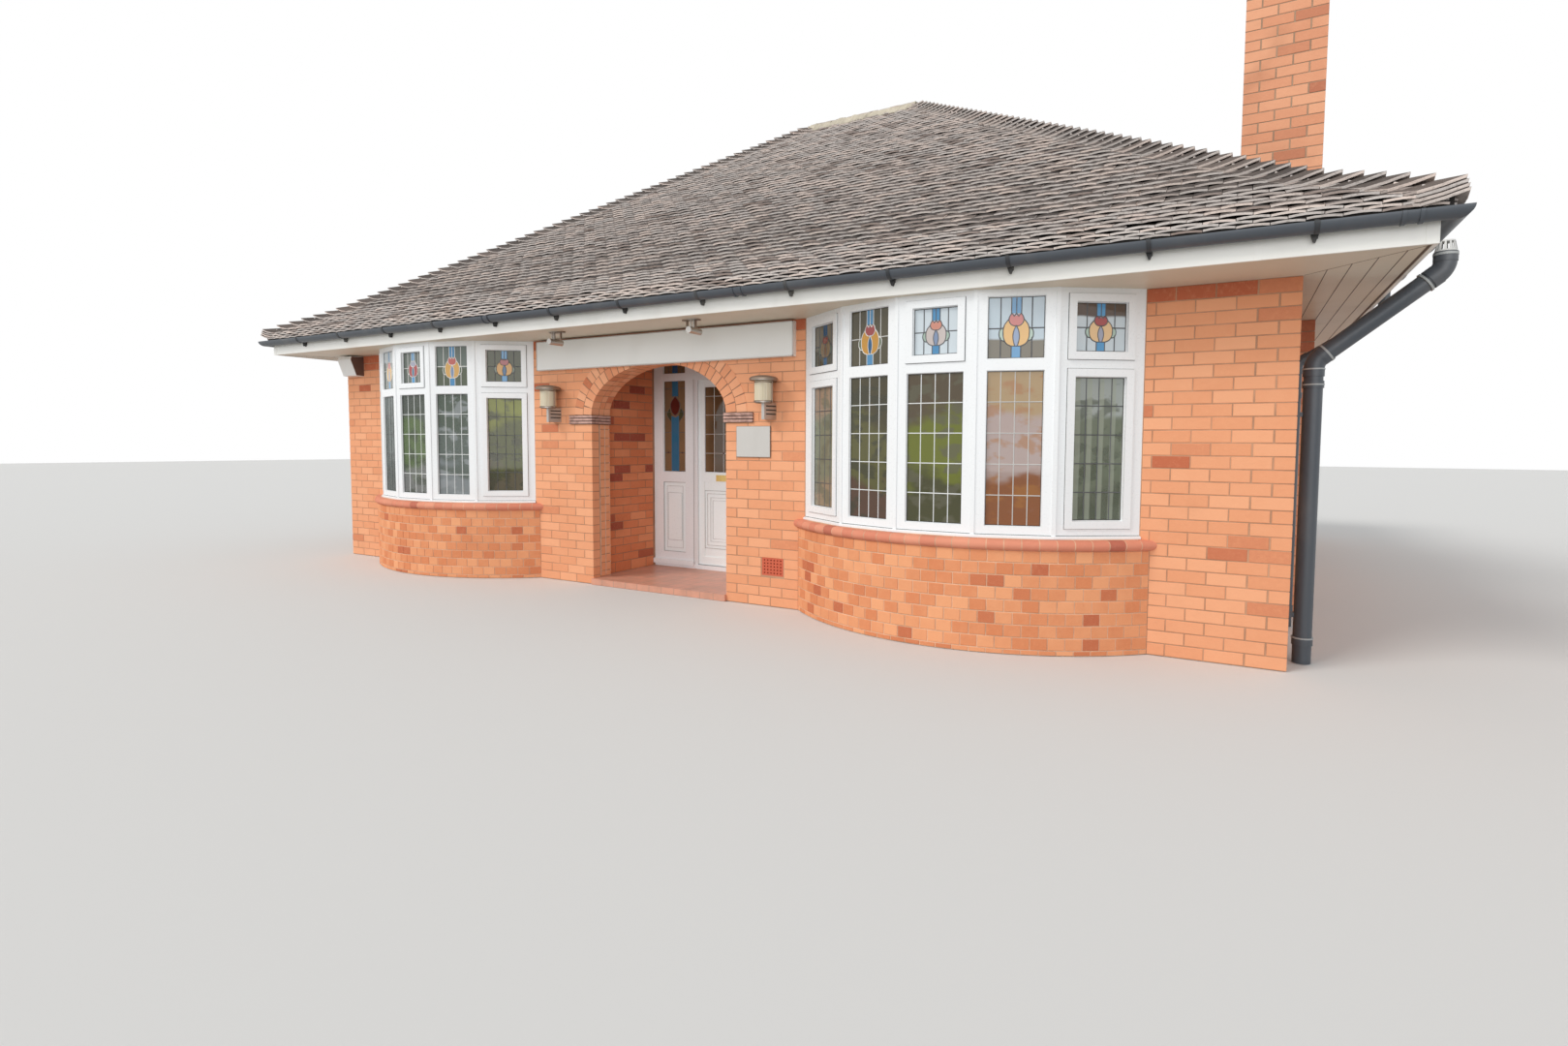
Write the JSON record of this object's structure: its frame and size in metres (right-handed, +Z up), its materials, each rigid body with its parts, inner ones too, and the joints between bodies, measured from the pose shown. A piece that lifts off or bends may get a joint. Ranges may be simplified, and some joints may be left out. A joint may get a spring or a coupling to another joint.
{
  "type": "single-storey corner shop building",
  "caption": "Detached single-storey brick shop, bungalow form: hipped tiled roof, curved bay windows with leaded lights, arched porch, hinged front door, boxed eaves and a side chimney.",
  "frame": {"origin": "centre of the wall plan at ground level", "axes": "+X to the right along the street front, +Y from the front to the rear, +Z up"},
  "size_m": [11.634, 9.954, 6.42],
  "materials": {
    "brick": "rough fired clay with pale mortar",
    "arch_brick": "rough pinkish fired clay",
    "sill_brick": "smooth red clay",
    "floor_tile": "worn red clay tile",
    "roof_tile": "weathered plain clay tile",
    "ridge_mortar": "ridge tiles with pale mortar",
    "clay_pot": "unglazed clay",
    "concrete": "float finish",
    "plaster": "matt painted",
    "upvc": "glossy white",
    "hinge_white": "white enamel",
    "glass": "clear with lead strips",
    "brass": "polished",
    "rainwater": "weathered slate grey",
    "sign_panel": "satin white, bare",
    "lamp_metal": "satin",
    "alarm_shell": "white",
    "plaque_metal": "satin, bare"
  },
  "bodies": {
    "building": {"floor_slab": "concrete", "porch_floor": "floor_tile", "left_side_wall": "brick", "right_side_wall": "brick", "rear_wall": "brick", "front_wall_left_end": "brick", "front_wall_left_pier": "brick", "front_wall_right_pier": "brick", "front_wall_right_end": "brick", "wall_over_arch": "brick", "front_wall_head": "brick", "arch_ring": "arch_brick", "arch_imposts": "arch_brick", "porch_left_wall": "brick", "porch_right_wall": "brick", "porch_ceiling": "upvc", "entrance_frame": "upvc", "entrance_glass": "glass", "entrance_panels": "upvc", "door_hinges": "hinge_white", "left_bay_base": "brick", "left_bay_sill": "sill_brick", "left_bay_frame": "upvc", "left_bay_glass": "glass", "right_bay_base": "brick", "right_bay_sill": "sill_brick", "right_bay_frame": "upvc", "right_bay_glass": "glass", "casement_frames": "upvc", "casement_glass": "glass", "casement_sills": "sill_brick", "ceiling": "plaster", "soffit": "upvc", "fascia": "upvc", "roof": "roof_tile", "ridge_tiles": "ridge_mortar", "hip_tiles": "roof_tile", "chimney_stack": "brick", "chimney_pot": "clay_pot", "gutter": "rainwater", "gutter_brackets": "rainwater", "vent_pipe": "rainwater", "vent_cage": "rainwater", "downpipe": "rainwater", "sign_board": "sign_panel", "sign_spotlights": "lamp_metal", "wall_lanterns": "lamp_metal", "alarm_box": "alarm_shell", "plaque": "plaque_metal", "air_bricks": "sill_brick"},
    "door": {"front_door": "upvc", "door_glass": "glass", "letter_plate": "brass", "door_handles": "brass"}
  },
  "joints": [
    {"name": "front_door_hinge", "type": "hinge", "parent": "building", "child": "door", "pos_m": [-0.365, -3.2417, 0], "axis": [0, 0, 1], "range_deg": [0, 90]}
  ]
}
